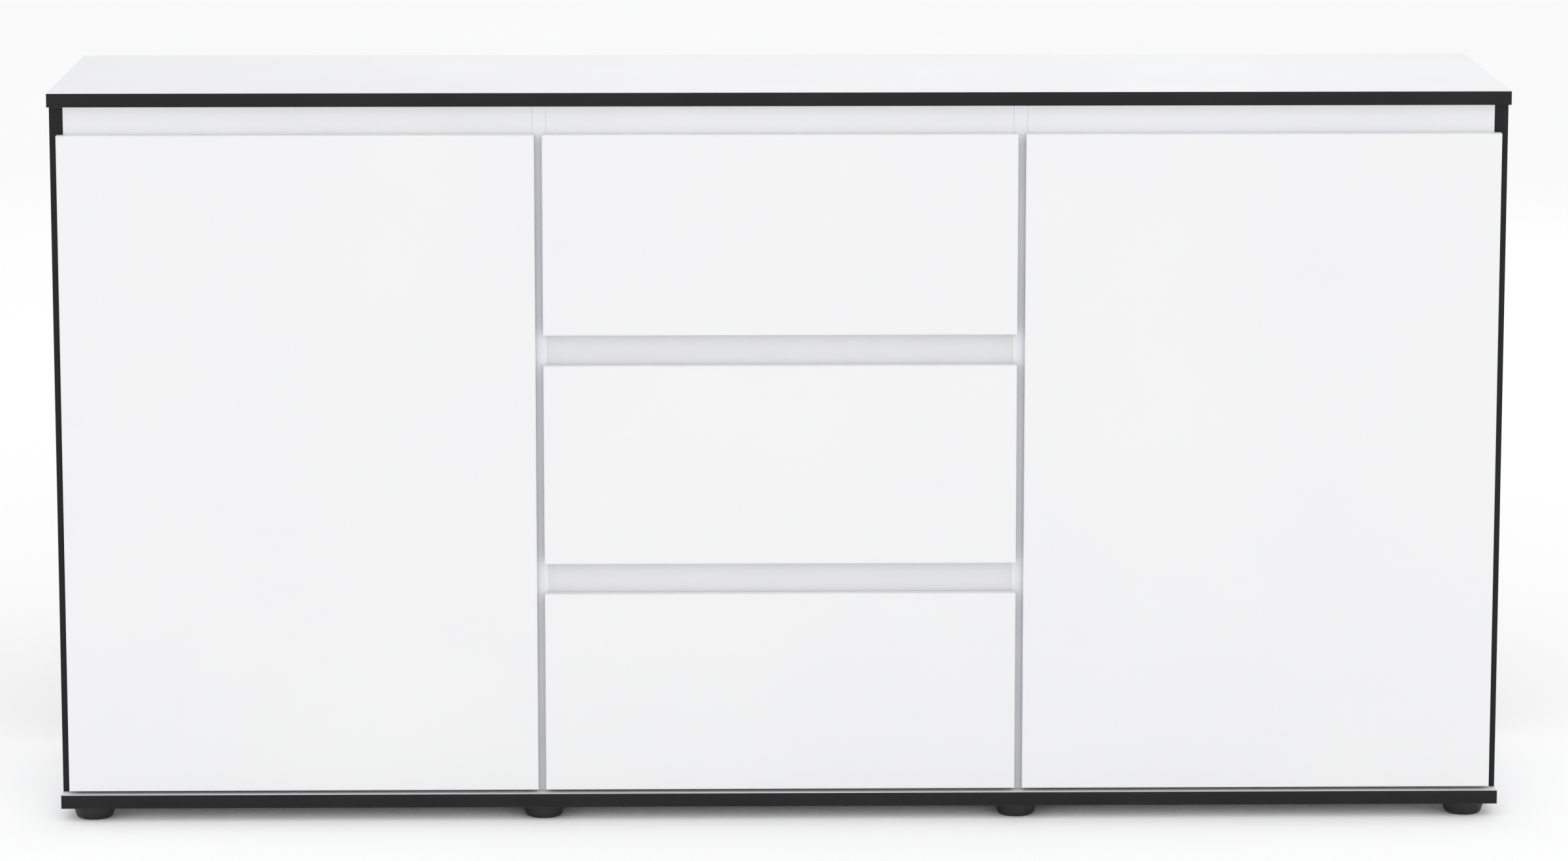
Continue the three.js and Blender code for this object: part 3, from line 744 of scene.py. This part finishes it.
def make_back():
    """Thin back panels, white inside and brown outside, nailed to the cabinet's back edges."""
    for bay in BAYS:
        node = f"back_panel_{bay}"
        low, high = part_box(node)
        board = make_thin_sheet(f"{node}_board", low, high, "y", -1, back_foil)
        nails = bmesh.new()
        dimples = bmesh.new()
        across = row_of_places(low.x + NAIL_INSET, high.x - NAIL_INSET)
        upright = row_of_places(low.z + NAIL_INSET, high.z - NAIL_INSET)[1:-1]
        spots = [(x, z) for x in across for z in (low.z + NAIL_INSET, high.z - NAIL_INSET)]
        spots += [(x, z) for x in (low.x + NAIL_INSET, high.x - NAIL_INSET) for z in upright]
        for x, z in spots:
            add_turning(nails, NAIL_HEAD, (x, high.y - NAIL_SINK, z), "y", 1, 20)
            cylinder_cutter(dimples, (x, high.y, z), "y", -1, NAIL_RADIUS + NAIL_PLAY, NAIL_SINK, 20)
        cut_away(board, dimples, 1)
        hand_over(board, "cabinet", "back_foil", node)
        hand_over(as_object(f"back_nails_{bay}", nails, [zinc], TURNED), "cabinet", "back_foil")


def row_of_places(start, end):
    """Evenly spaced places between two ends, about one nail pitch apart."""
    count = max(1, round((end - start) / NAIL_PITCH))
    return [start + (end - start) * i / count for i in range(count + 1)]


def make_feet():
    """Round glides with a rolled sole edge, a collar and a recessed screw."""
    for node in [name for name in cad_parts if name.startswith("foot_")]:
        low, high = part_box(node)
        centre = ((low.x + high.x) / 2, (low.y + high.y) / 2, low.z)
        top_radius, height = (high.x - low.x) / 2, high.z - low.z
        lean = math.radians(FOOT_LEAN)
        waist = height * WAIST_SHARE
        waist_radius = top_radius - (height - waist) * math.tan(lean)
        sole = top_radius - (height - SOLE_DROP) * math.tan(lean) - SOLE_ROUNDING * math.cos(lean)
        profile = [(0, FOOT_RECESS), (FOOT_RECESS_RADIUS, FOOT_RECESS), (FOOT_RECESS_RADIUS, 0.4 * MM),
                   (FOOT_RECESS_RADIUS + 0.6 * MM, 0),
                   *arc(SOLE_ROUNDING, sole, SOLE_ROUNDING, -90, -FOOT_LEAN, 8), (waist_radius, waist),
                   (waist_radius + 0.3 * MM, waist + 0.2 * MM), (top_radius, height - 0.5 * MM),
                   (top_radius - 0.5 * MM, height), (0, height)]
        shape = bmesh.new()
        add_turning(shape, profile, centre, "z", 1, 64)
        hand_over(as_object(f"{node}_glide", shape, [foot_plastic], FORMED), "cabinet", "black_plastic", node)
        screw = [facing((centre[0], centre[1], FOOT_RECESS - 0.1 * MM), "z", -1)]
        place_screws(f"{node}_screw", "cabinet", "black_plastic", screw)


# ---------------------------------------------------------------- doors and hinges

def hinge_height(side, end):
    """The height of a hinge cup's centre."""
    low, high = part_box(f"hinge_cup_{side}_{end}")
    return (low.z + high.z) / 2


def cup_centre(side, end):
    """How far along the cabinet a hinge cup's centre is."""
    low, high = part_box(f"hinge_cup_{side}_{end}")
    return (low.x + high.x) / 2


def make_bumpers(name, body, slot, spots):
    """Clear rubber dots that quieten a closing front."""
    profile = [(0, 0), (4 * MM, 0), (3.9 * MM, 0.4 * MM), (3.1 * MM, 1.0 * MM), (0, 1.2 * MM)]
    shape = bmesh.new()
    for x, y, z in spots:
        add_turning(shape, profile, (x, y, z), "y", 1, 28)
    hand_over(as_object(name, shape, [bumper_rubber], TURNED), body, slot)


def make_doors():
    """Doors bored for their hinge cups, with bumpers and hinges."""
    for side, hand in HANDS:
        node, body = f"door_{side}", f"{side}_door"
        low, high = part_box(node)
        bores = bmesh.new()
        for end in ENDS:
            mouth = (cup_centre(side, end), high.y, hinge_height(side, end))
            cylinder_cutter(bores, mouth, "y", -1, CUP_BORE_RADIUS, CUP_DEPTH + SEAM, 64)
        make_board(node, body, "white_front", front_skin, ALL_ROUND, FRONT_BAND, cut=bores)
        free_edge = (low if hand > 0 else high).x + hand * BUMPER_INSET
        bumper_heights = (low.z + DOOR_BUMPER_INSET, high.z - DOOR_BUMPER_INSET)
        make_bumpers(f"door_bumpers_{side}", body, "white_front",
                     [(free_edge, high.y, z) for z in bumper_heights])
        for end in ENDS:
            make_hinge(side, hand, end, body)


def make_hinge(side, hand, end, door_body):
    """The cup with its wings and screws in the door, and the screws of the arm on the side panel."""
    face_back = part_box(f"door_{side}")[1].y
    x, z = cup_centre(side, end), hinge_height(side, end)
    cup = bmesh.new()
    inside = CUP_RADIUS - CUP_WALL
    profile = [(0, -CUP_DEPTH), (CUP_RADIUS - 0.8 * MM, -CUP_DEPTH), (CUP_RADIUS, 0.8 * MM - CUP_DEPTH),
               (CUP_RADIUS, 0.2 * MM), (inside + 0.2 * MM, 0.25 * MM), (inside, 0),
               (inside, 1.6 * MM - CUP_DEPTH), (inside - 0.8 * MM, CUP_WALL - CUP_DEPTH),
               (0, CUP_WALL - CUP_DEPTH)]
    add_turning(cup, profile, (x, face_back, z), "y", 1, 64)
    hand_over(as_object(f"hinge_cup_{side}_{end}_pot", cup, [nickel], TURNED), door_body, "nickel_steel",
              f"hinge_cup_{side}_{end}")
    wing_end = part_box(f"hinge_cup_{side}_{end}")[1].z - z
    wings = bmesh.new()
    under = face_back + SEAM
    for way in (-1, 1):
        near, far = sorted((z + way * (inside - MM), z + way * wing_end))
        outline = rounded_rectangle((x - WING_HALF_WIDTH, near), (x + WING_HALF_WIDTH, far), WING_CORNER)
        add_extrusion(wings, outline, "y", under, under + WING_THICKNESS)
    hand_over(as_object(f"hinge_wings_{side}_{end}", wings, [nickel], TURNED), door_body, "nickel_steel")
    screws = [facing((x, under + WING_THICKNESS - 0.5 * MM, z + way * WING_SCREW_REACH), "y", 1)
              for way in (-1, 1)]
    place_screws(f"hinge_cup_screws_{side}_{end}", door_body, "nickel_steel", screws)
    arm_low, arm_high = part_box(f"hinge_arm_{side}_{end}")
    plate_x = (arm_low if hand < 0 else arm_high).x - hand * ARM_PLATE_INSET
    web_x = (arm_high if hand < 0 else arm_low).x
    plate_y = arm_high.y - ARM_PLATE_TO_TAIL
    screws = [facing((plate_x, plate_y, z + way * ARM_SCREW_REACH), "x", -hand) for way in (-1, 1)]
    screws += [facing((web_x + hand * 0.4 * MM, arm_high.y - inset, z), "x", -hand)
               for inset in ARM_SCREW_INSETS]
    place_screws(f"hinge_arm_screws_{side}_{end}", "cabinet", "nickel_steel", screws)


def finish_hinge_nodes():
    """Hinge arms and links keep their CAD shape, with rounded edges and a nickel finish."""
    for name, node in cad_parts.items():
        if name.startswith(("hinge_arm", "hinge_link")):
            node.data.materials.clear()
            node.data.materials.append(nickel)
            rounding = node.modifiers.new("rounding", "BEVEL")
            rounding.width = HINGE_ROUNDING
            rounding.segments = 2
            rounding.limit_method = "ANGLE"
            rounding.angle_limit = math.radians(40)


# ---------------------------------------------------------------- drawers and runners

def make_roller(shape, centre, width, hand):
    """A nylon roller with a hub recess and a ridged rim, its axis across the cabinet."""
    half, rim, turn = width / 2, ROLLER_RADIUS, 0.8 * MM
    profile = [(0, -half), (3 * MM, -half), (3 * MM, turn - half), (rim - 2 * turn, turn - half),
               (rim - 2 * turn, -half), *arc(turn, rim - turn, turn - half, -90, 0, 4),
               (rim, -0.5 * MM), (rim - 0.3 * MM, 0), (rim, 0.5 * MM),
               *arc(turn, rim - turn, half - turn, 0, 90, 4), (0, half)]
    add_turning(shape, profile, centre, "x", hand, 48)


def cut_slots(runner, web, reach, start, end, bottom, count):
    """A row of slots through a runner's upright web, reaching to either side of it."""
    slots = bmesh.new()
    for step in range(1, count + 1):
        y = start + (end - start) * step / (count + 1)
        add_block(slots, (web - reach, y - SLOT_HALF_LENGTH, bottom),
                  (web + reach, y + SLOT_HALF_LENGTH, bottom + SLOT_HEIGHT))
    cut_away(runner, slots, 0)


def make_cabinet_runner(level, side, hand):
    """A folded channel, screwed to the partition, with a roller at its front end."""
    node = f"runner_{level}_{side}"
    low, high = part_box(node)
    wall = (high if hand > 0 else low).x
    inward = -hand
    t = RUNNER_STEEL
    roof = low.z + CHANNEL_HEIGHT
    web = wall + inward * t / 2
    path = [(wall + inward * CHANNEL_WIDTH, low.z + CHANNEL_LIP),
            (wall + inward * (CHANNEL_WIDTH - t / 2), low.z + t / 2), (web, low.z + t / 2),
            (web, roof - t / 2), (wall + inward * CHANNEL_ROOF, roof - t / 2)]
    shape = bmesh.new()
    start = low.y + 2 * ROLLER_INSET
    add_extrusion(shape, sheet_outline(path, t, RUNNER_BEND), "y", start, high.y)
    nose = [(wall + inward * NOSE_WIDTH, low.z + t / 2), (web, low.z + t / 2), (web, roof - 2 * MM)]
    add_extrusion(shape, sheet_outline(nose, t, RUNNER_BEND), "y", low.y, start)
    channel = as_object(f"{node}_channel", shape, [powder_coat], FORMED)
    cut_slots(channel, wall, 2 * t, start, high.y, roof - CHANNEL_SLOT_DROP, 5)
    hand_over(channel, "cabinet", "white_steel", node)
    roller = bmesh.new()
    centre = (wall + inward * (2 * t + ROLLER_WIDTH / 2), low.y + ROLLER_INSET, high.z - ROLLER_RADIUS)
    make_roller(roller, centre, ROLLER_WIDTH, inward)
    hand_over(as_object(f"{node}_roller", roller, [nylon], FORMED), "cabinet", "white_steel")
    screws = [facing((wall + inward * t, start + (high.y - start) * share, roof - CHANNEL_SCREW_DROP), "x",
                     inward) for share in CHANNEL_SCREW_SHARES]
    place_screws(f"{node}_screws", "cabinet", "white_steel", screws)


def make_drawer_side(level, side, hand):
    """A side board with the bottom's groove, and the runner folded under its lower edge."""
    node, body = f"drawer_{level}_side_{side}", f"{level}_drawer"
    low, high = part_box(node)
    inner = (low if hand > 0 else high).x
    outer = inner + hand * DRAWER_WALL
    under = low.z + ROLLER_DROP
    floor_low, floor_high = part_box(f"drawer_{level}_bottom")
    groove = bmesh.new()
    edges = sorted((inner + hand * GROOVE_DEPTH, inner - hand * MM))
    add_block(groove, (edges[0], low.y - MM, floor_low.z - SEAM),
              (edges[1], high.y + MM, floor_high.z + SEAM))
    left, right = sorted((inner, outer))
    make_board(node, body, "drawer_foil", drawer_foil, {"+z": drawer_band}, WHITE_BAND,
               box=((left, low.y, under), (right, high.y, high.z)), cut=groove)
    t = RUNNER_STEEL
    track = under + TRACK_LIFT
    web = outer + hand * (SEAM + t / 2)
    track_edge = (high if hand > 0 else low).x
    path = [(inner + hand * MM, under - t / 2), (web, under - t / 2), (web, track + t / 2),
            (track_edge, track + t / 2)]
    shape = bmesh.new()
    add_extrusion(shape, sheet_outline(path, t, TRACK_BEND), "y", low.y + 2 * MM, high.y)
    runner = as_object(f"drawer_runner_{level}_{side}", shape, [powder_coat], FORMED)
    cut_slots(runner, web, t, low.y, high.y, under + TRACK_SLOT_LIFT, 7)
    hand_over(runner, body, "white_steel")
    middle = (inner + outer) / 2
    flange = [facing((middle, low.y + share * (high.y - low.y), under - t), "z", -1)
              for share in TRACK_SCREW_SHARES]
    place_screws(f"drawer_runner_screws_{level}_{side}", body, "white_steel", flange)
    wheel_x = outer + hand * (RUNNER_SPACE - SEAM - 2 * t - WHEEL_WIDTH / 2)
    centre = (wheel_x, high.y - ROLLER_INSET, low.z + ROLLER_RADIUS)
    wheel = bmesh.new()
    make_roller(wheel, centre, WHEEL_WIDTH, -hand)
    hand_over(as_object(f"drawer_roller_{level}_{side}", wheel, [nylon], FORMED), body, "white_steel")
    heights = [under + share * (high.z - under) for share in JOINT_SHARES]
    joints = [facing((outer, high.y - DRAWER_WALL / 2, z), "x", hand) for z in heights]
    place_screws(f"drawer_side_screws_{level}_{side}", body, "white_steel", joints)
    cams = [facing((outer, low.y + CAM_FROM_FRONT, z), "x", hand) @ CAM_SHAPE for z in heights]
    place_screws(f"drawer_cams_{level}_{side}", body, "white_steel", cams)
    pin = bmesh.new()
    span = abs(wheel_x - web)
    add_turning(pin, [(0, 0), (ROLLER_PIN_RADIUS, 0), (ROLLER_PIN_RADIUS, span), (0, span)], centre, "x",
                -hand, 20)
    hand_over(as_object(f"drawer_roller_pin_{level}_{side}", pin, [zinc], FORMED), body, "white_steel")


def make_drawers():
    """Drawer fronts, backs, bottoms and bumpers, and everything at their sides."""
    for level in LEVELS:
        body = f"{level}_drawer"
        front_node = f"drawer_{level}_front"
        low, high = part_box(front_node)
        floor_low, floor_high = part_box(f"drawer_{level}_bottom")
        groove = bmesh.new()
        add_block(groove, (floor_low.x - SEAM, high.y - GROOVE_DEPTH, floor_low.z - SEAM),
                  (floor_high.x + SEAM, high.y + MM, floor_high.z + SEAM))
        make_board(front_node, body, "white_front", front_skin, ALL_ROUND, FRONT_BAND, cut=groove)
        make_board(f"drawer_{level}_back", body, "drawer_foil", drawer_foil, {"+z": drawer_band},
                   WHITE_BAND)
        sheet = make_thin_sheet(f"drawer_{level}_bottom_sheet", floor_low, floor_high, "z", 1, drawer_foil)
        hand_over(sheet, body, "drawer_foil", f"drawer_{level}_bottom")
        make_bumpers(f"drawer_bumpers_{level}", body, "white_front",
                     [(x, high.y, high.z - BUMPER_INSET) for x in (low.x + 6 * MM, high.x - 6 * MM)])
        for side, hand in HANDS:
            make_drawer_side(level, side, hand)
            make_cabinet_runner(level, side, hand)


# ---------------------------------------------------------------- studio

def make_floor():
    """A wide pale floor, which is not part of the sideboard."""
    shape = bmesh.new()
    add_block(shape, (-FLOOR_HALF, -FLOOR_HALF, -FLOOR_THICKNESS), (FLOOR_HALF, FLOOR_HALF, 0), 0.01, 2)
    material, tree, shader = new_finish("pale_floor", Specular_IOR_Level=0.2)
    skin = use_group(tree, GRAIN, {"Grain Size": 4 * MM, "Cloud Size": 1.5})
    tree.links.new(mix_colours(tree, skin["Cloud"], colour("#fdfdfd"), colour("#fbfbfb")),
                   shader.inputs["Base Color"])
    tree.links.new(between(tree, skin["Cloud"], 0.7, 0.8), shader.inputs["Roughness"])
    as_object("studio_floor", shape, [material])


def place_light(data, direction):
    """Puts a light into the scene, shining along direction."""
    light = bpy.data.objects.new(data.name, data)
    light.rotation_euler = Vector(direction).to_track_quat("-Z", "Y").to_euler()
    bpy.context.scene.collection.objects.link(light)
    return light


def add_soft_light(name, place, size, power):
    """A square soft light at place, turned towards the middle of the sideboard."""
    data = bpy.data.lights.new(name, "AREA")
    data.shape = "SQUARE"
    data.size = size
    data.energy = power
    place_light(data, Vector(LIGHT_AIM) - Vector(place)).location = place


def add_front_sun():
    """A very wide soft light from the front, as from a bank of windows."""
    data = bpy.data.lights.new("wide_front_light", "SUN")
    data.energy = FRONT_SUN_ENERGY
    data.angle = math.radians(FRONT_SUN_SPREAD)
    place_light(data, FRONT_SUN_DIRECTION)


def make_camera():
    """A long lens at standing height, in front of the sideboard and a little to its left."""
    data = bpy.data.cameras.new("camera")
    data.lens = CAMERA_LENS
    data.sensor_width = SENSOR_WIDTH
    data.clip_end = VIEW_END
    camera = bpy.data.objects.new("camera", data)
    camera.location = CAMERA_PLACE
    camera.rotation_euler = (math.radians(CAMERA_TILT), 0, math.radians(CAMERA_TURN))
    bpy.context.scene.collection.objects.link(camera)
    bpy.context.scene.camera = camera


def make_studio():
    """Pale floor, an almost white room, soft lights and the camera."""
    make_floor()
    world = bpy.data.worlds.new("pale_room")
    world.use_nodes = True
    background = world.node_tree.nodes["Background"]
    background.inputs["Color"].default_value = ROOM_COLOUR
    background.inputs["Strength"].default_value = ROOM_STRENGTH
    bpy.context.scene.world = world
    add_front_sun()
    for name, place, size, power in SOFT_LIGHTS:
        add_soft_light(name, place, size, power)
    make_camera()
    bpy.context.scene.view_settings.view_transform = "Standard"


make_shell()
make_shelves()
make_caps()
make_back()
make_feet()
make_doors()
finish_hinge_nodes()
make_drawers()
make_studio()
